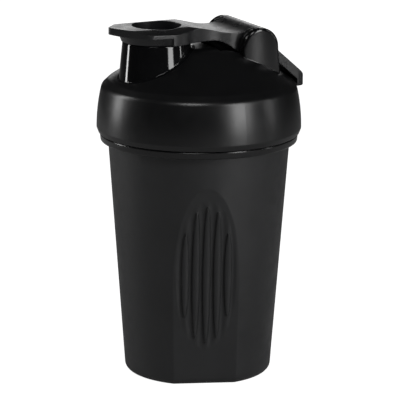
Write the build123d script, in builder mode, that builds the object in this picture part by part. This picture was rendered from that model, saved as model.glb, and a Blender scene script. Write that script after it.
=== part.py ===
from build123d import *
import math
import os

os.makedirs("parts", exist_ok=True)

# Protein shaker bottle, closed: a tapered cup with a screw lid, a drinking spout under a
# flip cap, a carry loop on the cap's hinge, and a loose wire whisk ball inside.
# Millimetres, +Z up, the spout towards -Y. The origin is the centre of the base, on the table.

# ---- cup ----
foot_inset = 7.7  # of the cup's outer radius at the table, from the neck
cup_wall = 1.8
floor_thickness = 1.8
foot_recess = 1.2
foot_ring_width = 9.3  # from the foot's edge in to its recess
foot_round = 3.4
inner_round = 3.0
collar_bottom = 111.1
collar_height = 3.4
collar_inset = 0.5  # from the lid's lower edge
collar_draft = 0.4
neck_radius = 42.0
neck_step = 0.6  # from the tapered wall in to the neck
neck_height = 20.5  # from the collar's top to the rim

# ---- the two opposed finger grips of the cup ----
grip_angle = -20.5  # of the first grip, about +Z from +X
grip_depth = 3.3
grip_top_drop = 14.7  # below the collar, where the grip runs out into the wall
grip_run_out = 49.4  # height of its curved upper part; below it runs parallel to the wall
rib_count = 5
rib_pitch = 5.0
rib_width = 3.4
rib_height = 1.0
rib_oval_width = 25.2
rib_oval_low = 20.5
rib_oval_drop = 23.6  # its top, below the collar

# ---- screw thread between cup and lid ----
thread_lead = 6.0
thread_turns = 1.5
thread_depth = 1.5
thread_root_width = 2.6
thread_crest_width = 1.2
thread_start = 4.6  # above the collar's top
thread_flank_gap = 0.5  # between the tightened flanks
thread_sink = 0.5  # how far a ridge is rooted in its wall

# ---- lid ----
skirt_gap = 0.3  # over the collar, and between parts that turn on each other
thread_clearance = 0.7  # radial, between each crest and the wall facing it
skirt_bottom_wall = 2.8
skirt_bulge_wall = 3.8
skirt_bulge_height = 2.6  # height of the widest line over the skirt's lower edge
skirt_top_wall = 1.5
skirt_height = 22.2
shoulder_round = 3.6
skirt_edge_round = 0.9
lid_wall = 2.6
dome_slope = 0.65
dome_edge_inset = 3.3  # from the skirt's top edge
dome_edge_height = 25.3  # over the skirt's lower edge
dome_top_radius = 17.0
dome_crown_round = 12.0
lip_wall = 1.0
lip_drop = 2.4
lip_gap = 0.8

# ---- gasket under the lid ----
gasket_thickness = 1.6
gasket_gap = 0.2

# ---- spout ----
spout_tip_radius = 15.8
spout_rise = 2.99  # rim over the dome's flat top
spout_spread = 1.8  # gained in radius from the rim down to the dome's edge
spout_edge_inset = 2.5  # from the dome's edge
spout_wall = 2.3
spout_bore_straight = 7.5
spout_bore_base = 15.2
spout_chamfer = 0.7

# ---- hinge ----
hinge_inset = 20.3  # from the dome's edge in to the hinge axis
hinge_drop = 0.51  # axis below the dome's flat top
hinge_radius = 9.2
post_outer = 20.3  # from the middle plane to a post's outer face
post_thickness = 3.0
post_flare = 1.6
post_round = 1.2
eye_thickness = 2.4
hinge_gap = 0.3  # beside each eye and round the hinge in its pocket
pocket_wall = 1.8
pocket_reach = 20.6  # front edge of the pocket, in front of the hinge axis
pocket_front_height = 0.1  # over the hinge axis
pocket_ramp_drop = 5.2  # below the hinge axis, where the ramp meets the round pocket
pin_radius = 2.0
pin_running_fit = 0.06
pin_press = 0.01
pin_blind_wall = 1.8

# ---- flip cap ----
cap_gap = 0.3  # over the spout's rim
cap_edge_thickness = 1.7
cap_overhang = 2.4  # of the round plate beyond the spout's rim
cap_corner_angle = -34.0  # of the plate's side corners, about the spout's axis
cap_corner_overhang = 4.6
cap_corner_round = 4.0
cap_collar_overhang = 0.6
cap_tab_inset = 0.7  # from the lid's widest line
cap_tab_radius = 2.6
cap_tab_thickness = 3.2
cap_tab_lift = 0.8
cap_rim_rise = 7.3  # over the spout's rim
cap_crown_drop = 2.6  # from the middle line to the side edges
plug_gap = 0.7  # between plug and bore
plug_wall = 1.2
plug_floor = 1.8
recess_depth = 11.0
arm_leave_angle = 30.0  # where the arm's outline leaves the round plate
arm_inset = 1.4  # narrowest place of the arm, in from the barrel's end
arm_neck_offset = 18.1  # that place, in front of the hinge axis
arm_valley = 6.9  # arm's lowest top line, over the hinge axis
arm_valley_offset = 10.6  # in front of the hinge axis

# ---- silicone ring on the plug ----
ring_height = 2.2
ring_groove = 0.7
ring_bore_gap = 0.3
ring_seat_gap = 0.05
ring_rise = 0.9  # over the plug's lower face

# ---- carry loop ----
loop_angle = 41.0  # below horizontal, resting on the lid's shoulder
loop_inset = 0.2  # rear face, from the lid's widest line
loop_underside = 0.9  # offset of the arms' lower face from the hinge axis
loop_thickness = 4.1
loop_end_band = 5.0
loop_end_round = 4.5
loop_lip_drop = 20.3  # lip's lower edge below the hinge axis
loop_nose_round = 6.0  # upper edge of the rear face
loop_lip_round = 1.7  # its lower edge
loop_window_round = 1.5

# ---- whisk ball ----
ball_radius = 20.0  # to the outside of the wire
wire_radius = 1.1
ball_turns = 9
ball_pole_angle = 14.0
ball_floor_gap = 0.3

# ---- derived places: cup ----
foot_radius = neck_radius - foot_inset
wall_taper = (neck_radius + neck_step - foot_radius) / collar_bottom
neck_bore = neck_radius - cup_wall
collar_top = collar_bottom + collar_height
rim_height = collar_top + neck_height
floor_height = foot_recess + floor_thickness
grip_top_height = collar_bottom - grip_top_drop
grip_bend_height = grip_top_height - grip_run_out
rib_oval_height = collar_bottom - rib_oval_drop - rib_oval_low
rib_oval_centre = rib_oval_low + rib_oval_height / 2

# ---- derived places: lid ----
skirt_inner = neck_radius + thread_depth + thread_clearance
lid_bottom_radius = skirt_inner + skirt_bottom_wall
lid_radius = skirt_inner + skirt_bulge_wall
skirt_top_radius = skirt_inner + skirt_top_wall
collar_radius = lid_bottom_radius - collar_inset
skirt_bottom = collar_top + skirt_gap
seat_height = rim_height + gasket_thickness + 2 * gasket_gap
dome_edge_radius = skirt_top_radius - dome_edge_inset
dome_edge = skirt_bottom + dome_edge_height
dome_top = dome_edge + (dome_edge_radius - dome_top_radius) * dome_slope
spout_base_radius = spout_tip_radius + spout_spread
spout_offset = dome_edge_radius - spout_base_radius - spout_edge_inset
spout_bore = spout_tip_radius - spout_wall
spout_tip = dome_top + spout_rise

# ---- derived places: hinge, cap, ring and ball ----
hinge_offset = dome_edge_radius - hinge_inset
hinge_height = dome_top - hinge_drop
post_inner = post_outer - post_thickness
eye_outer = post_inner - hinge_gap
eye_inner = eye_outer - eye_thickness
barrel_half = eye_inner - hinge_gap
arm_half_width = barrel_half - arm_inset
arm_neck = hinge_offset - arm_neck_offset
pocket_front = hinge_offset - pocket_reach
cap_radius = spout_tip_radius + cap_overhang
cap_corner_reach = spout_tip_radius + cap_corner_overhang
cap_collar_radius = spout_tip_radius + cap_collar_overhang
cap_tab_reach = lid_radius - cap_tab_inset
cap_rim_height = spout_tip + cap_rim_rise
plug_radius = spout_bore - plug_gap
recess_radius = plug_radius - plug_wall
cap_collar_bottom = spout_tip + cap_gap
arm_underside = cap_collar_bottom
plug_bottom = cap_rim_height - recess_depth - plug_floor
cap_underside = cap_rim_height + cap_tab_lift - cap_crown_drop - cap_edge_thickness
ring_bottom = plug_bottom + ring_rise
loop_end = lid_radius - loop_inset
ball_path_radius = ball_radius - wire_radius
ball_pole = math.radians(ball_pole_angle)
ball_centre = floor_height + ball_floor_gap + wire_radius + ball_path_radius * math.cos(ball_pole)
hinge_plane = Plane(origin=(0, hinge_offset, hinge_height), x_dir=(0, 1, 0), z_dir=(1, 0, 0))


def wall_radius(height):
    """Outer radius of the tapered cup at a height."""
    return foot_radius + wall_taper * height


def grip_plane(side):
    """Upright plane through the cup's axis and the middle of grip 0 or 1."""
    angle = math.radians(grip_angle + 180 * side)
    outward = Vector(math.cos(angle), math.sin(angle), 0)
    return Plane(origin=(0, 0, 0), x_dir=outward, z_dir=outward.cross(Vector(0, 0, 1)))


def grip_core(side, inset, low):
    """Everything inward of a grip's surface moved in by inset, as a wide slab."""
    bend = (wall_radius(grip_bend_height) - grip_depth - inset, grip_bend_height)
    top = (wall_radius(grip_top_height) - inset, grip_top_height)
    crown = rim_height + 1
    with BuildPart() as core:
        with BuildSketch(grip_plane(side)):
            with BuildLine():
                foot = (bend[0] - wall_taper * (grip_bend_height - low), low)
                Line(foot, bend)
                run_out = TangentArc(bend, top, tangent=(wall_taper, 1))
                last = run_out @ 1
                Polyline(last, (lid_radius, crown), (-lid_radius, crown), (-lid_radius, low), foot)
            make_face()
        extrude(amount=lid_radius, both=True)
    return core.part


def rib_bars(side):
    """Upright bars with tapering ends in an oval patch across one grip, before they are trimmed."""
    face_plane = Plane(origin=(0, 0, 0), x_dir=-grip_plane(side).z_dir, z_dir=grip_plane(side).x_dir)
    with BuildPart() as bars:
        for index in range(rib_count):
            place = (index - (rib_count - 1) / 2) * rib_pitch
            length = rib_oval_height * math.sqrt(1 - (2 * place / rib_oval_width) ** 2)
            with BuildSketch(face_plane):
                with Locations((place, rib_oval_centre)):
                    Ellipse(rib_width / 2, length / 2)
            extrude(amount=lid_radius)
    return bars.part


def thread_ridge(wall, crest_offset, start):
    """A helical ridge on a cylindrical wall; crest_offset is negative on an inner wall."""
    outward = 1 if crest_offset > 0 else -1
    root = -outward * thread_sink
    with BuildPart() as ridge:
        with BuildLine() as path:
            Helix(pitch=thread_lead, height=thread_lead * thread_turns, radius=wall, center=(0, 0, start))
        with BuildSketch(Plane(origin=(wall, 0, start), x_dir=(1, 0, 0), z_dir=(0, -1, 0))):
            with BuildLine():
                Polyline(
                    (root, -thread_root_width / 2),
                    (0, -thread_root_width / 2),
                    (crest_offset, -thread_crest_width / 2),
                    (crest_offset, thread_crest_width / 2),
                    (0, thread_root_width / 2),
                    (root, thread_root_width / 2),
                    close=True,
                )
            make_face()
        sweep(path=path.wires()[0], binormal=Vector(0, 0, 1))
    return ridge.part


# ---- cup: one moulding with collar, threaded neck and two ribbed grips ----
neck_join = (neck_bore + cup_wall - foot_radius) / wall_taper

with BuildPart() as cup_hollow:
    with BuildSketch(Plane.XZ):
        with BuildLine():
            Polyline(
                (0, floor_height),
                (wall_radius(floor_height) - cup_wall, floor_height),
                (neck_bore, neck_join),
                (neck_bore, rim_height + 1),
                (0, rim_height + 1),
                close=True,
            )
        make_face()
    revolve(axis=Axis.Z)
    for side in range(2):
        add(grip_core(side, cup_wall, floor_height - 1), mode=Mode.INTERSECT)
    fillet(cup_hollow.faces().sort_by(Axis.Z)[0].edges(), inner_round)

cup_ridge = thread_ridge(neck_radius, thread_depth, collar_top + thread_start)

with BuildPart() as cup_shell:
    with BuildSketch(Plane.XZ):
        with BuildLine():
            Polyline(
                (0, 0),
                (foot_radius, 0),
                (wall_radius(collar_bottom), collar_bottom),
                (wall_radius(collar_bottom), rim_height),
                (0, rim_height),
                close=True,
            )
        make_face()
    revolve(axis=Axis.Z)
    for side in range(2):
        add(grip_core(side, 0, -1), mode=Mode.INTERSECT)
    fillet(cup_shell.faces().sort_by(Axis.Z)[0].edges(), foot_round)

with BuildPart() as ribs:
    for side in range(2):
        add(rib_bars(side))
    for side in range(2):
        add(grip_core(side, -rib_height, -1), mode=Mode.INTERSECT)
    with BuildSketch(Plane.XZ):
        with BuildLine():
            Polyline(
                (wall_radius(0) - cup_wall - grip_depth, 0),
                (wall_radius(0), 0),
                (wall_radius(rim_height), rim_height),
                (wall_radius(rim_height) - cup_wall - grip_depth, rim_height),
                close=True,
            )
        make_face()
    revolve(axis=Axis.Z, mode=Mode.INTERSECT)

with BuildPart() as cup:
    add(cup_shell.part)
    with BuildSketch(Plane.XY.offset(collar_top)):
        Circle(lid_radius)
        Circle(neck_radius, mode=Mode.SUBTRACT)
    extrude(amount=neck_height, mode=Mode.SUBTRACT)
    with BuildSketch(Plane.XZ):
        with BuildLine():
            Polyline(
                (neck_radius - cup_wall / 2, collar_bottom),
                (collar_radius - collar_draft, collar_bottom),
                (collar_radius, collar_top),
                (neck_radius - cup_wall / 2, collar_top),
                close=True,
            )
        make_face()
    revolve(axis=Axis.Z)
    add(ribs.part)
    add(cup_ridge)
    add(cup_hollow.part, mode=Mode.SUBTRACT)
    with BuildSketch(Plane.XY):
        Circle(foot_radius - foot_ring_width)
    extrude(amount=foot_recess, mode=Mode.SUBTRACT)
    collar_edges = cup.edges().filter_by(GeomType.CIRCLE).filter_by_position(
        Axis.Z, collar_bottom - 0.01, collar_bottom + 0.01
    )
    fillet(collar_edges.sort_by(SortBy.RADIUS)[-1], 0.7)
    rim_edges = cup.edges().filter_by(GeomType.CIRCLE).filter_by_position(
        Axis.Z, rim_height - 0.01, rim_height + 0.01
    )
    fillet(rim_edges, cup_wall / 3)
cup.part.label = "cup"
export_step(cup.part, "parts/cup.step")


# ---- lid: one moulding with threaded skirt, dome, spout and two hinge posts ----
lid_ridge = thread_ridge(
    skirt_inner,
    -thread_depth,
    collar_top + thread_start
    - (thread_root_width + thread_crest_width) / 2 * (1 - thread_clearance / thread_depth / 2)
    - thread_flank_gap,
)

with BuildPart() as lid_outer:
    with BuildSketch(Plane.XZ):
        with BuildLine():
            bulge = (lid_radius, skirt_bottom + skirt_bulge_height)
            skirt_top = (skirt_top_radius, skirt_bottom + skirt_height)
            Line((0, skirt_bottom), (lid_bottom_radius, skirt_bottom))
            Line((lid_bottom_radius, skirt_bottom), bulge)
            TangentArc(bulge, skirt_top, tangent=(0, 1))
            Polyline(skirt_top, (dome_edge_radius, dome_edge), (dome_top_radius, dome_top), (0, dome_top))
            Line((0, dome_top), (0, skirt_bottom))
        make_face()
    revolve(axis=Axis.Z)
    rings = lid_outer.edges().filter_by(GeomType.CIRCLE)
    shoulder_rings = rings.filter_by_position(Axis.Z, skirt_top[1] - 0.1, dome_edge + 0.1)
    fillet(shoulder_rings, shoulder_round)
    top_ring = lid_outer.edges().filter_by(GeomType.CIRCLE).sort_by(Axis.Z)[-1]
    fillet(top_ring, dome_crown_round)
    bottom_rings = lid_outer.edges().filter_by(GeomType.CIRCLE).filter_by_position(
        Axis.Z, skirt_bottom - 0.1, bulge[1] + 0.1
    )
    fillet(bottom_rings, skirt_edge_round)

lid_cavity_top = dome_top - lid_wall
with BuildPart() as lid_cavity:
    with BuildSketch(Plane.XZ):
        with BuildLine():
            lip_inner = neck_bore - lip_gap - lip_wall
            Polyline(
                (0, skirt_bottom - 1),
                (skirt_inner, skirt_bottom - 1),
                (skirt_inner, seat_height),
                (neck_bore - lip_gap, seat_height),
                (neck_bore - lip_gap, rim_height - lip_drop),
                (lip_inner, rim_height - lip_drop),
                (lip_inner, dome_edge + (dome_edge_radius - lip_inner) * dome_slope - lid_wall),
                (dome_top_radius, lid_cavity_top),
                (0, lid_cavity_top),
                close=True,
            )
        make_face()
    revolve(axis=Axis.Z)

with BuildPart() as spout:
    with BuildSketch(Plane.YZ):
        with BuildLine():
            Polyline(
                (-spout_offset, skirt_bottom),
                (-spout_offset - spout_base_radius, skirt_bottom),
                (-spout_offset - spout_base_radius, dome_edge),
                (-spout_offset - spout_tip_radius, spout_tip),
                (-spout_offset, spout_tip),
                close=True,
            )
        make_face()
    revolve(axis=Axis((0, -spout_offset, 0), (0, 0, 1)))
    tip_edge = spout.edges().filter_by(GeomType.CIRCLE).sort_by(Axis.Z)[-1]
    fillet(tip_edge, 0.5)

with BuildPart() as spout_way:
    with BuildSketch(Plane.YZ):
        with BuildLine():
            Polyline(
                (-spout_offset, skirt_bottom),
                (-spout_offset - spout_bore_base, skirt_bottom),
                (-spout_offset - spout_bore_base, rim_height),
                (-spout_offset - spout_bore, spout_tip - spout_bore_straight),
                (-spout_offset - spout_bore, spout_tip - spout_chamfer),
                (-spout_offset - spout_bore - spout_chamfer, spout_tip),
                (-spout_offset, spout_tip),
                close=True,
            )
        make_face()
    revolve(axis=Axis((0, -spout_offset, 0), (0, 0, 1)))

with BuildPart() as posts:
    for side in (-1, 1):
        foot_drop = hinge_height - seat_height
        face_plane = hinge_plane.offset(side * post_outer)
        with BuildSketch(face_plane):
            with BuildLine():
                Line((-hinge_radius, 0), (-hinge_radius, -foot_drop))
                Line((-hinge_radius, -foot_drop), (hinge_radius + post_flare, -foot_drop))
                Line((hinge_radius + post_flare, -foot_drop), (hinge_radius, 0))
                ThreePointArc((hinge_radius, 0), (0, hinge_radius), (-hinge_radius, 0))
            make_face()
        extrude(amount=-side * post_thickness)
    outer_edges = (
        posts.faces().filter_by(Axis.X).sort_by(Axis.X)[0].edges()
        + posts.faces().filter_by(Axis.X).sort_by(Axis.X)[-1].edges()
    )
    fillet(outer_edges.filter_by_position(Axis.Z, seat_height + 1, hinge_height + hinge_radius), post_round)

with BuildPart() as hinge_pocket:
    with BuildSketch(hinge_plane):
        Circle(hinge_radius + hinge_gap)
        with BuildLine():
            Polyline(
                (0, 0),
                (0, hinge_radius),
                (pocket_front - hinge_offset, hinge_radius),
                (pocket_front - hinge_offset, pocket_front_height),
                (-hinge_radius, -pocket_ramp_drop),
                close=True,
            )
        make_face()
    extrude(amount=post_inner, both=True)

with BuildPart() as pocket_bulge:
    with BuildSketch(hinge_plane):
        Circle(hinge_radius + hinge_gap + pocket_wall)
        with BuildLine():
            Polyline(
                (0, 0),
                (pocket_front - hinge_offset, pocket_front_height),
                (pocket_front - hinge_offset, pocket_front_height - pocket_wall),
                (-hinge_radius, -pocket_ramp_drop - pocket_wall),
                close=True,
            )
        make_face()
    extrude(amount=post_inner + pocket_wall / 2, both=True)
    add(lid_outer.part, mode=Mode.INTERSECT)

with BuildPart() as lid:
    add(lid_outer.part)
    add(spout.part)
    add(posts.part)
    add(lid_cavity.part, mode=Mode.SUBTRACT)
    add(pocket_bulge.part)
    add(spout_way.part, mode=Mode.SUBTRACT)
    add(hinge_pocket.part, mode=Mode.SUBTRACT)
    with BuildSketch(hinge_plane.offset(-post_outer)):
        Circle(pin_radius - pin_press)
    extrude(amount=2 * post_outer - pin_blind_wall, mode=Mode.SUBTRACT)
    add(lid_ridge)
lid.part.label = "lid"
export_step(lid.part, "parts/lid.step")

# ---- gasket: a flat silicone ring between the cup's rim and the lid ----
with BuildPart() as lid_seal:
    with BuildSketch(Plane.XY.offset(rim_height + gasket_gap)):
        Circle(skirt_inner - gasket_gap)
        Circle(neck_bore - lip_gap + gasket_gap, mode=Mode.SUBTRACT)
    extrude(amount=gasket_thickness)
    fillet(lid_seal.edges().filter_by(GeomType.CIRCLE), 0.3)
lid_seal.part.label = "lid_seal"
export_step(lid_seal.part, "parts/lid_seal.step")

# ---- hinge pin: pressed in from one post, through the barrel, into the other post ----
with BuildPart() as hinge_pin:
    with BuildSketch(hinge_plane.offset(-post_outer)):
        Circle(pin_radius)
    extrude(amount=2 * post_outer - pin_blind_wall - 0.2)
    chamfer(hinge_pin.edges().filter_by(GeomType.CIRCLE), 0.3)
hinge_pin.part.label = "hinge_pin"
export_step(hinge_pin.part, "parts/hinge_pin.step")

# ---- flip cap: crowned thumb plate, finger recess and plug, arm and hinge barrel ----
leave = math.radians(arm_leave_angle)
corner = math.radians(cap_corner_angle)
corner_point = (cap_corner_reach * math.cos(corner), -spout_offset + cap_corner_reach * math.sin(corner))
departure = (cap_radius * math.cos(leave), -spout_offset + cap_radius * math.sin(leave))
recess_front = -spout_offset - recess_radius
recess_back = -spout_offset + recess_radius
meet = math.radians(62)  # where the arm's top runs into the barrel
under_meet = math.radians(15)  # where its underside does
barrel_meet = (hinge_offset - hinge_radius * math.cos(meet), hinge_height + hinge_radius * math.sin(meet))
barrel_under = (
    hinge_offset - hinge_radius * math.cos(under_meet),
    hinge_height - hinge_radius * math.sin(under_meet),
)

with BuildPart() as flip_cap:
    with BuildSketch(Plane.XY.offset(plug_bottom)) as plate_outline:
        with BuildLine():
            for hand in (-1, 1):
                Polyline(
                    (0, -cap_tab_reach),
                    (hand * corner_point[0], corner_point[1]),
                    (hand * cap_radius, -spout_offset),
                )
                RadiusArc(
                    (hand * cap_radius, -spout_offset), (hand * departure[0], departure[1]), -hand * cap_radius
                )
                Spline(
                    (hand * departure[0], departure[1]),
                    (hand * arm_half_width, arm_neck),
                    (hand * barrel_half, hinge_offset - hinge_radius),
                    tangents=((-hand * math.sin(leave), math.cos(leave)), (0, 1)),
                )
                Line((hand * barrel_half, hinge_offset - hinge_radius), (hand * barrel_half, hinge_offset))
            Line((-barrel_half, hinge_offset), (barrel_half, hinge_offset))
        make_face()
        fillet(plate_outline.vertices().sort_by(Axis.Y)[0], cap_tab_radius)
        side_corners = plate_outline.vertices().filter_by_position(
            Axis.Y, corner_point[1] - 0.1, corner_point[1] + 0.1
        )
        fillet(side_corners, cap_corner_round)
    extrude(amount=cap_rim_height + cap_tab_lift + 1 - plug_bottom)
    with BuildSketch(Plane.YZ):
        with BuildLine():
            tab_top = (-cap_tab_reach, cap_rim_height + cap_tab_lift)
            tab_low = (-cap_tab_reach, cap_rim_height + cap_tab_lift - cap_tab_thickness)
            Spline(tab_top, (recess_front, cap_rim_height), tangents=((1, -0.12), (1, 0)))
            Line((recess_front, cap_rim_height), (recess_back, cap_rim_height))
            Spline(
                (recess_back, cap_rim_height),
                (hinge_offset - arm_valley_offset, hinge_height + arm_valley),
                barrel_meet,
                tangents=((1, -0.1), (math.sin(meet), math.cos(meet))),
            )
            Line(barrel_meet, (hinge_offset, hinge_height))
            Line((hinge_offset, hinge_height), barrel_under)
            Spline(
                barrel_under,
                (0, arm_underside),
                tangents=((-1, 0.75), (-1, 0)),
            )
            Polyline((0, arm_underside), (-spout_offset, arm_underside), (-spout_offset, cap_underside))
            Line((-spout_offset, cap_underside), (recess_front - 2, cap_underside))
            Spline((recess_front - 2, cap_underside), tab_low, tangents=((-1, 0), (-1, 0.2)))
            Line(tab_low, tab_top)
        make_face()
    extrude(amount=cap_radius + 1, both=True, mode=Mode.INTERSECT)
    with BuildSketch(Plane.XZ):
        with BuildLine():
            crown_top = cap_rim_height + cap_tab_lift
            Line((cap_radius, crown_top - cap_crown_drop), (cap_radius, hinge_height - hinge_radius))
            Line((cap_radius, hinge_height - hinge_radius), (-cap_radius, hinge_height - hinge_radius))
            Line((-cap_radius, hinge_height - hinge_radius), (-cap_radius, crown_top - cap_crown_drop))
            ThreePointArc(
                (-cap_radius, crown_top - cap_crown_drop),
                (0, crown_top),
                (cap_radius, crown_top - cap_crown_drop),
            )
        make_face()
    extrude(amount=cap_tab_reach + 1, both=True, mode=Mode.INTERSECT)
    with BuildSketch(Plane.YZ):
        with BuildLine():
            Polyline(
                (-spout_offset, plug_bottom),
                (-spout_offset - plug_radius, plug_bottom),
                (-spout_offset - plug_radius, cap_collar_bottom),
                (-spout_offset - cap_collar_radius, cap_collar_bottom),
                (-spout_offset - cap_radius + 0.4, cap_underside + 0.3),
                (-spout_offset, cap_underside + 0.3),
                close=True,
            )
        make_face()
    revolve(axis=Axis((0, -spout_offset, 0), (0, 0, 1)))
    with BuildSketch(hinge_plane):
        Circle(hinge_radius)
    extrude(amount=barrel_half, both=True)
    with BuildSketch(Plane.XY.offset(cap_rim_height - recess_depth)):
        with Locations((0, -spout_offset)):
            Circle(recess_radius)
    extrude(amount=recess_depth + 2, mode=Mode.SUBTRACT)
    with BuildSketch(Plane.XY.offset(ring_bottom)):
        with Locations((0, -spout_offset)):
            Circle(plug_radius + 1)
            Circle(plug_radius - ring_groove, mode=Mode.SUBTRACT)
    extrude(amount=ring_height, mode=Mode.SUBTRACT)
    with BuildSketch(hinge_plane):
        Circle(pin_radius + pin_running_fit)
    extrude(amount=barrel_half + 1, both=True, mode=Mode.SUBTRACT)
flip_cap.part.label = "flip_cap"
export_step(flip_cap.part, "parts/flip_cap.step")

# ---- silicone ring in the plug's groove ----
with BuildPart() as spout_seal:
    with BuildSketch(Plane.XY.offset(ring_bottom + ring_seat_gap)):
        with Locations((0, -spout_offset)):
            Circle(spout_bore - ring_bore_gap)
            Circle(plug_radius - ring_groove + ring_seat_gap, mode=Mode.SUBTRACT)
    extrude(amount=ring_height - 2 * ring_seat_gap)
    outer_rings = spout_seal.edges().filter_by(GeomType.CIRCLE).group_by(SortBy.RADIUS)[-1]
    fillet(outer_rings, 0.6)
spout_seal.part.label = "spout_seal"
export_step(spout_seal.part, "parts/spout_seal.step")

# ---- carry loop: two eyes on the hinge pin and a flat U-shaped band ----
slope = math.radians(loop_angle)
loop_up = (math.sin(slope), math.cos(slope))


def on_loop(offset, distance_behind):
    """Height of the loop's sloping plane, moved up by offset, at a distance behind the axis."""
    run = distance_behind - hinge_offset - offset * loop_up[0]
    return hinge_height + offset * loop_up[1] - run * math.tan(slope)


with BuildPart() as lid_envelope:
    with BuildSketch(Plane.XZ):
        with BuildLine():
            Polyline(
                (0, skirt_bottom),
                (lid_radius, skirt_bottom),
                (skirt_top_radius + skirt_gap, skirt_top[1]),
                (dome_edge_radius + skirt_gap, dome_edge + skirt_gap),
                (dome_top_radius, dome_top + skirt_gap),
                (0, dome_top + skirt_gap),
                close=True,
            )
        make_face()
    revolve(axis=Axis.Z)

with BuildPart() as carry_loop:
    with BuildSketch(Plane.YZ):
        with BuildLine():
            loop_top = loop_underside + loop_thickness
            lip_low = hinge_height - loop_lip_drop
            rest = lid_radius - loop_end_band
            Polyline(
                (hinge_offset, on_loop(loop_underside, hinge_offset)),
                (rest, on_loop(loop_underside, rest)),
                (rest, lip_low),
                (loop_end, lip_low),
                (loop_end, on_loop(loop_top, loop_end)),
                (hinge_offset, on_loop(loop_top, hinge_offset)),
                close=True,
            )
        make_face()
    extrude(amount=eye_outer, both=True)
    rear_edges = carry_loop.edges().filter_by(Axis.X).group_by(Axis.Y)[-1].sort_by(Axis.Z)
    fillet(rear_edges[-1], loop_nose_round)
    lip_edge = carry_loop.edges().filter_by(Axis.X).filter_by_position(Axis.Z, lip_low - 0.01, lip_low + 0.01)
    fillet(lip_edge.sort_by(Axis.Y)[-1], loop_lip_round)
    with BuildSketch(Plane.XY.offset(hinge_height)) as loop_plan:
        with Locations((0, (hinge_offset + loop_end) / 2)):
            Rectangle(2 * eye_outer, loop_end - hinge_offset)
        fillet(loop_plan.vertices().group_by(Axis.Y)[-1], loop_end_round)
        with Locations((0, (hinge_offset + loop_end) / 2 - loop_end_band)):
            Rectangle(2 * eye_inner, loop_end - hinge_offset, mode=Mode.SUBTRACT)
        window_corners = loop_plan.vertices().filter_by_position(Axis.X, -eye_inner, eye_inner)
        fillet(window_corners.group_by(Axis.Y)[-1], loop_window_round)
    extrude(amount=hinge_height - lip_low + 1, both=True, mode=Mode.INTERSECT)
    add(lid_envelope.part, mode=Mode.SUBTRACT)
    for side in (-1, 1):
        with BuildSketch(hinge_plane.offset(side * eye_inner)):
            Circle(hinge_radius)
        extrude(amount=side * eye_thickness)
    with BuildSketch(hinge_plane):
        Circle(pin_radius + pin_running_fit)
    extrude(amount=eye_outer + 1, both=True, mode=Mode.SUBTRACT)
carry_loop.part.label = "carry_loop"
export_step(carry_loop.part, "parts/carry_loop.step")

# ---- whisk ball: one steel wire wound into a spherical coil, loose on the cup's floor ----
points_per_turn = 12
point_count = ball_turns * points_per_turn
with BuildPart() as whisk_ball:
    with BuildLine() as wire_path:
        wire_points = []
        for index in range(point_count + 1):
            polar = ball_pole + (math.pi - 2 * ball_pole) * index / point_count
            turn = 2 * math.pi * index / points_per_turn
            wire_points.append(
                (
                    ball_path_radius * math.sin(polar) * math.cos(turn),
                    ball_path_radius * math.sin(polar) * math.sin(turn),
                    ball_centre + ball_path_radius * math.cos(polar),
                )
            )
        Spline(*wire_points)
    with BuildSketch(Plane(origin=wire_path.line @ 0, z_dir=wire_path.line % 0)):
        Circle(wire_radius)
    sweep(is_frenet=True)
whisk_ball.part.label = "whisk_ball"
export_step(whisk_ball.part, "parts/whisk_ball.step")
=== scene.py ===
import math

import bpy
from mathutils import Matrix, Vector


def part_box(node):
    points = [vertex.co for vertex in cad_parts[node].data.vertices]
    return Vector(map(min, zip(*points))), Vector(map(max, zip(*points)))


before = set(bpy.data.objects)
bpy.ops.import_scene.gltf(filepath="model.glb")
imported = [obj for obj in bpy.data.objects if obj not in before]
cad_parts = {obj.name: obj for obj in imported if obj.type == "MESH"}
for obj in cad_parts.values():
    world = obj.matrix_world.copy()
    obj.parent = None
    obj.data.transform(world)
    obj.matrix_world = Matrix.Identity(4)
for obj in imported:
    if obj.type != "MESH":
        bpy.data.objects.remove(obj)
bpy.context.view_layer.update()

# ---- studio: camera, softboxes, white surroundings and paper sweep ----
# The bottle stands on a white sweep. A tall softbox on each side gives the upright
# strips of light on the glossy parts, and one over the camera lights the cap.
look_at = Vector((0.0, 0.0, 0.082))
camera_place = (1.3377, -0.6787, 0.4396)
camera_roll = math.radians(0.35)
focal_length = 294.4
lens_shift = (0.0040, -0.0028)
camera_data = bpy.data.cameras.new("studio_camera")
camera_data.sensor_width = 36.0
camera_data.lens = focal_length
camera_data.shift_x, camera_data.shift_y = lens_shift
camera_data.clip_end = 20.0
camera = bpy.data.objects.new("studio_camera", camera_data)
bpy.context.scene.collection.objects.link(camera)
camera.location = camera_place
aim = (look_at - camera.location).to_track_quat("-Z", "Y").to_matrix()
camera.rotation_euler = (aim @ Matrix.Rotation(camera_roll, 3, "Z")).to_euler()
bpy.context.scene.camera = camera


def softbox(name, azimuth, distance, height, size, power, target=0.08):
    """A rectangular lamp facing the bottle's axis; azimuth 0 is in front of the spout."""
    data = bpy.data.lights.new(name, "AREA")
    data.shape = "RECTANGLE"
    data.size, data.size_y = size
    data.energy = power
    lamp = bpy.data.objects.new(name, data)
    bpy.context.scene.collection.objects.link(lamp)
    turn = math.radians(azimuth)
    lamp.location = Vector((distance * math.sin(turn), -distance * math.cos(turn), height))
    lamp.rotation_euler = (Vector((0, 0, target)) - lamp.location).to_track_quat("-Z", "Y").to_euler()


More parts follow.
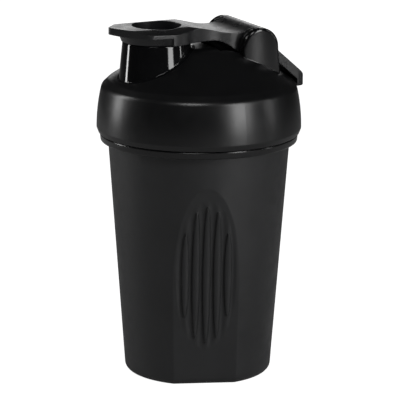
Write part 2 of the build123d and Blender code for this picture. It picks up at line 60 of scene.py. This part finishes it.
softbox("left_softbox", azimuth=-40.0, distance=0.80, height=0.34, size=(0.11, 0.60), power=2.4)
softbox("right_softbox", azimuth=110.0, distance=0.85, height=0.34, size=(0.27, 0.60), power=4.4)
softbox("far_right_softbox", azimuth=150.0, distance=0.90, height=0.30, size=(0.05, 0.50), power=0.6)
softbox("front_softbox", azimuth=55.0, distance=1.00, height=1.10, size=(0.50, 0.40), power=5.0)
softbox("back_softbox", azimuth=243.0, distance=1.10, height=0.30, size=(0.60, 0.25), power=0.8, target=0.16)


def split_for_camera(tree, output_type, lighting, seen):
    """Shows one shader to the camera and another to every other ray."""
    ray = tree.nodes.new("ShaderNodeLightPath")
    choose = tree.nodes.new("ShaderNodeMixShader")
    output = tree.nodes.new(output_type)
    tree.links.new(ray.outputs["Is Camera Ray"], choose.inputs["Fac"])
    tree.links.new(lighting.outputs[0], choose.inputs[1])
    tree.links.new(seen.outputs[0], choose.inputs[2])
    tree.links.new(choose.outputs[0], output.inputs["Surface"])


# The surroundings look white but light the bottle only faintly, so the softboxes shape it.
seen_strength = 1.0
room_strength = 0.02
world = bpy.data.worlds.new("white_studio")
bpy.context.scene.world = world
world.use_nodes = True
world_tree = world.node_tree
world_tree.nodes.clear()
room = world_tree.nodes.new("ShaderNodeBackground")
room.inputs["Color"].default_value = (1, 1, 1, 1)
room.inputs["Strength"].default_value = room_strength
backdrop = world_tree.nodes.new("ShaderNodeBackground")
backdrop.inputs["Color"].default_value = (1, 1, 1, 1)
backdrop.inputs["Strength"].default_value = seen_strength
split_for_camera(world_tree, "ShaderNodeOutputWorld", room, backdrop)

# The sweep takes shadows and bounces a little light; a glow for the camera keeps it white.
sweep_size = 8.0
paper_tone = (0.55, 0.55, 0.55, 1)
paper_glow = 0.92
bpy.ops.object.select_all(action="DESELECT")
bpy.ops.mesh.primitive_plane_add(size=sweep_size, location=(0, 0, 0))
floor = bpy.context.object
floor.name = "paper_sweep"
floor_paint = bpy.data.materials.new("white_paper")
floor_paint.use_nodes = True
paper_tree = floor_paint.node_tree
paper_tree.nodes.clear()
paper = paper_tree.nodes.new("ShaderNodeBsdfDiffuse")
paper.inputs["Color"].default_value = paper_tone
glow = paper_tree.nodes.new("ShaderNodeEmission")
glow.inputs["Color"].default_value = (1, 1, 1, 1)
glow.inputs["Strength"].default_value = paper_glow
lit = paper_tree.nodes.new("ShaderNodeAddShader")
paper_tree.links.new(paper.outputs[0], lit.inputs[0])
paper_tree.links.new(glow.outputs[0], lit.inputs[1])
split_for_camera(paper_tree, "ShaderNodeOutputMaterial", paper, lit)
floor.data.materials.append(floor_paint)


# ---- cup: moulded black polypropylene ----
# A tapered cup with two scooped, ribbed grips and a threaded neck that the lid screws
# on to. Its skin is matt and a shade lighter than the lid; collar and neck are polished.
def noise(tree, scale, detail):
    """Noise over the piece's own coordinates."""
    texture = tree.nodes.new("ShaderNodeTexNoise")
    texture.inputs["Scale"].default_value = scale
    texture.inputs["Detail"].default_value = detail
    tree.links.new(tree.nodes["Texture Coordinate"].outputs["Object"], texture.inputs["Vector"])
    return texture.outputs["Fac"]


def moulded_plastic(name, dark, light, smooth, rough, grain, height, edge=0.0006):
    """Moulded plastic with slow tone changes, fine grain, faint scuffs and eased edges.

    Colours run from dark to light and roughness from smooth to rough. The grain is a noise
    scale, its height and the width of the eased edges are in metres.
    """
    made = bpy.data.materials.new(name)
    made.use_nodes = True
    tree = made.node_tree
    nodes, links = tree.nodes, tree.links
    shader = nodes["Principled BSDF"]
    shader.inputs["IOR"].default_value = 1.49
    nodes.new("ShaderNodeTexCoord")
    tone = nodes.new("ShaderNodeValToRGB")
    tone_start, tone_end = tone.color_ramp.elements
    tone_start.position, tone_start.color = 0.30, (*dark, 1)
    tone_end.position, tone_end.color = 0.72, (*light, 1)
    wear = nodes.new("ShaderNodeMapRange")
    wear.inputs["From Min"].default_value, wear.inputs["From Max"].default_value = 0.35, 0.70
    wear.inputs["To Min"].default_value, wear.inputs["To Max"].default_value = smooth, rough
    edges = nodes.new("ShaderNodeBevel")
    edges.samples = 6
    edges.inputs["Radius"].default_value = edge
    bump = nodes.new("ShaderNodeBump")
    bump.inputs["Strength"].default_value = 0.35
    bump.inputs["Distance"].default_value = height
    links.new(noise(tree, scale=38.0, detail=4.0), tone.inputs["Fac"])
    links.new(tone.outputs["Color"], shader.inputs["Base Color"])
    links.new(noise(tree, scale=160.0, detail=6.0), wear.inputs["Value"])
    links.new(wear.outputs["Result"], shader.inputs["Roughness"])
    links.new(noise(tree, scale=grain, detail=3.0), bump.inputs["Height"])
    links.new(edges.outputs["Normal"], bump.inputs["Normal"])
    links.new(bump.outputs["Normal"], shader.inputs["Normal"])
    return made


cup_plastic = moulded_plastic(
    "cup_polypropylene",
    dark=(0.0095, 0.0097, 0.0103),
    light=(0.0135, 0.0138, 0.0146),
    smooth=0.40,
    rough=0.52,
    grain=2600.0,
    height=0.00006,
    edge=0.0011,
)
cup_tree = cup_plastic.node_tree

# The collar and neck are glossy, and painted darker: painted shade for the shadow they sit in under the
# lid's skirt.
collar_bottom = 0.1110
collar_painted_shade = (0.0035, 0.0036, 0.0039, 1)
collar_roughness = 0.13


def worked(tree, operation, first, second=0.0, clamp=False):
    """Node arithmetic on sockets or numbers."""
    step = tree.nodes.new("ShaderNodeMath")
    step.operation = operation
    step.use_clamp = clamp
    for place, value in enumerate((first, second)):
        if isinstance(value, bpy.types.NodeSocket):
            tree.links.new(value, step.inputs[place])
        else:
            step.inputs[place].default_value = value
    return step.outputs[0]


def polish(tree, mask, roughness):
    """Gives a moulded plastic one low roughness where the mask is 1."""
    gloss = tree.nodes.new("ShaderNodeMix")
    gloss.inputs["B"].default_value = roughness
    tree.links.new(mask, gloss.inputs["Factor"])
    tree.links.new(tree.nodes["Map Range"].outputs["Result"], gloss.inputs["A"])
    tree.links.new(gloss.outputs["Result"], tree.nodes["Principled BSDF"].inputs["Roughness"])


upright = cup_tree.nodes.new("ShaderNodeSeparateXYZ")
cup_tree.links.new(cup_tree.nodes["Texture Coordinate"].outputs["Object"], upright.inputs["Vector"])
on_collar = worked(cup_tree, "GREATER_THAN", upright.outputs["Z"], collar_bottom)
polish(cup_tree, on_collar, collar_roughness)
# Painted shade: above the collar's bottom the base colour is mixed to the darker collar colour.
shade = cup_tree.nodes.new("ShaderNodeMix")
shade.data_type = "RGBA"
shade_plain, painted_shade_input, shade_result = shade.inputs[6], shade.inputs[7], shade.outputs[2]
painted_shade_input.default_value = collar_painted_shade
cup_tree.links.new(on_collar, shade.inputs["Factor"])
cup_tree.links.new(cup_tree.nodes["Color Ramp"].outputs["Color"], shade_plain)
cup_tree.links.new(shade_result, cup_tree.nodes["Principled BSDF"].inputs["Base Color"])

# The moulded ribs roll softly into the grips between them, fading out round their oval.
grip_turn = math.radians(20.5)
rib_pitch = 0.005
roll_height = 0.00030
oval_half_width = 0.0150
oval_half_height = 0.0365
oval_middle = 0.0540
oval_fade = 4.0


def shape_under_grain(tree, height, distance, invert=False):
    """Puts a larger bump between a moulded plastic's eased edges and its grain."""
    swell = tree.nodes.new("ShaderNodeBump")
    swell.invert = invert
    swell.inputs["Distance"].default_value = distance
    tree.links.new(height, swell.inputs["Height"])
    tree.links.new(tree.nodes["Bevel"].outputs["Normal"], swell.inputs["Normal"])
    tree.links.new(swell.outputs["Normal"], tree.nodes["Bump"].inputs["Normal"])


turned = cup_tree.nodes.new("ShaderNodeMapping")
turned.inputs["Rotation"].default_value[2] = grip_turn
grip_axes = cup_tree.nodes.new("ShaderNodeSeparateXYZ")
cup_tree.links.new(cup_tree.nodes["Texture Coordinate"].outputs["Object"], turned.inputs["Vector"])
cup_tree.links.new(turned.outputs["Vector"], grip_axes.inputs["Vector"])
sideways = grip_axes.outputs["Y"]
upward = worked(cup_tree, "SUBTRACT", grip_axes.outputs["Z"], oval_middle)
across_oval = worked(cup_tree, "DIVIDE", sideways, oval_half_width)
along_oval = worked(cup_tree, "DIVIDE", upward, oval_half_height)
wide = worked(cup_tree, "MULTIPLY", across_oval, across_oval)
tall = worked(cup_tree, "MULTIPLY", along_oval, along_oval)
inside = worked(cup_tree, "SUBTRACT", 1.0, worked(cup_tree, "ADD", wide, tall), clamp=True)
patch = worked(cup_tree, "MULTIPLY", inside, oval_fade, clamp=True)
roll = worked(cup_tree, "COSINE", worked(cup_tree, "MULTIPLY", sideways, 2 * math.pi / rib_pitch))
shape_under_grain(cup_tree, worked(cup_tree, "MULTIPLY", roll, patch), roll_height)


def finish_node(node, finish):
    """Gives every slot of a CAD node one finish."""
    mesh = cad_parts[node].data
    if not mesh.materials:
        mesh.materials.append(finish)
    for index in range(len(mesh.materials)):
        mesh.materials[index] = finish


finish_node("cup", cup_plastic)


# ---- lid: injection-moulded black polypropylene ----
# Skirt, dome, spout and the two hinge posts are one moulding, screwed down on the cup's
# neck. It is polished round the spout and on the posts, and satin on the dome and skirt.
def distance_across(tree, centre, keep):
    """Distance from a point, along the axes that keep holds."""
    flat = tree.nodes.new("ShaderNodeVectorMath")
    flat.operation = "MULTIPLY"
    flat.inputs[1].default_value = keep
    away = tree.nodes.new("ShaderNodeVectorMath")
    away.operation = "DISTANCE"
    away.inputs[1].default_value = [c * k for c, k in zip(centre, keep)]
    tree.links.new(tree.nodes["Texture Coordinate"].outputs["Object"], flat.inputs[0])
    tree.links.new(flat.outputs["Vector"], away.inputs[0])
    return away.outputs["Value"]


lid_plastic = moulded_plastic(
    "lid_polypropylene",
    dark=(0.0030, 0.0031, 0.0034),
    light=(0.0046, 0.0047, 0.0051),
    smooth=0.29,
    rough=0.33,
    grain=1700.0,
    height=0.00001,
)
lid_tree = lid_plastic.node_tree
spout_low, spout_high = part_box("spout_seal")
spout_centre = (spout_low + spout_high) / 2
spout_reach = 0.0181
pin_low, pin_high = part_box("hinge_pin")
hinge_middle = (pin_low + pin_high) / 2
post_reach = 0.0100
posts_half_span = 0.0206
polished_roughness = 0.075
from_spout = distance_across(lid_tree, spout_centre, (1, 1, 0))
from_hinge = distance_across(lid_tree, hinge_middle, (0, 1, 0))
from_middle = distance_across(lid_tree, (0, 0, 0), (1, 0, 0))
round_spout = worked(lid_tree, "LESS_THAN", from_spout, spout_reach)
beside_hinge = worked(lid_tree, "LESS_THAN", from_hinge, post_reach)
near_middle = worked(lid_tree, "LESS_THAN", from_middle, posts_half_span)
posts = worked(lid_tree, "MULTIPLY", beside_hinge, near_middle)
polish(lid_tree, worked(lid_tree, "MAXIMUM", round_spout, posts), polished_roughness)

# The posts' outer faces are very slightly crowned across, so a softbox shows as a strip.
crown_radius = 0.030
crown = worked(lid_tree, "MULTIPLY", worked(lid_tree, "MULTIPLY", from_hinge, from_hinge), posts)
shape_under_grain(lid_tree, crown, 1.0 / (2 * crown_radius), invert=True)
finish_node("lid", lid_plastic)

# ---- flip cap: black polypropylene ----
# Thumb plate, plug with its finger recess, and hinge barrel in one moulding that turns on
# the hinge pin; satin from handling.
cap_plastic = moulded_plastic(
    "cap_polypropylene",
    dark=(0.0085, 0.0087, 0.0093),
    light=(0.0125, 0.0128, 0.0136),
    smooth=0.26,
    rough=0.36,
    grain=2200.0,
    height=0.00003,
)
finish_node("flip_cap", cap_plastic)

# ---- carry loop: black polypropylene ----
# A flat U-shaped band whose two eyes turn on the hinge pin, one on each side of the
# barrel. It is a shade darker than the cap.
loop_plastic = moulded_plastic(
    "loop_polypropylene",
    dark=(0.0060, 0.0062, 0.0067),
    light=(0.0090, 0.0092, 0.0098),
    smooth=0.24,
    rough=0.34,
    grain=2000.0,
    height=0.00003,
)
finish_node("carry_loop", loop_plastic)

# ---- seals: black silicone rubber ----
# The flat gasket between the cup's rim and the lid, and the ring in the groove of the
# cap's plug. Both are dull and faintly dusty.
silicone = moulded_plastic(
    "silicone_rubber",
    dark=(0.020, 0.020, 0.021),
    light=(0.032, 0.032, 0.034),
    smooth=0.58,
    rough=0.74,
    grain=900.0,
    height=0.00004,
)
finish_node("lid_seal", silicone)
finish_node("spout_seal", silicone)

# ---- hinge pin: black acetal rod ----
# Pressed into both posts of the lid; the cap's barrel and the loop's eyes turn on it.
acetal = moulded_plastic(
    "pin_acetal",
    dark=(0.012, 0.012, 0.012),
    light=(0.019, 0.019, 0.019),
    smooth=0.28,
    rough=0.36,
    grain=1500.0,
    height=0.00002,
)
finish_node("hinge_pin", acetal)

# ---- whisk ball: one stainless steel wire ----
# Drawn wire wound into an open ball that lies loose on the cup's floor, with fine
# uneven tone and polish from drawing.
wire_scale = 900.0
wire_detail = 5.0
steel_dark = (0.50, 0.50, 0.51, 1)
steel_light = (0.66, 0.66, 0.65, 1)
steel_smooth = 0.14
steel_rough = 0.30
steel = bpy.data.materials.new("drawn_steel_wire")
steel.use_nodes = True
steel_tree = steel.node_tree
shader = steel_tree.nodes["Principled BSDF"]
shader.inputs["Metallic"].default_value = 1.0
steel_tree.nodes.new("ShaderNodeTexCoord")
drawing = noise(steel_tree, wire_scale, wire_detail)
tone = steel_tree.nodes.new("ShaderNodeValToRGB")
tone.color_ramp.elements[0].color = steel_dark
tone.color_ramp.elements[1].color = steel_light
sheen = steel_tree.nodes.new("ShaderNodeMapRange")
sheen.inputs["To Min"].default_value = steel_smooth
sheen.inputs["To Max"].default_value = steel_rough
steel_tree.links.new(drawing, tone.inputs["Fac"])
steel_tree.links.new(tone.outputs["Color"], shader.inputs["Base Color"])
steel_tree.links.new(drawing, sheen.inputs["Value"])
steel_tree.links.new(sheen.outputs["Result"], shader.inputs["Roughness"])
finish_node("whisk_ball", steel)

# ---- colours as rendered ----
bpy.context.scene.view_settings.view_transform = "Standard"
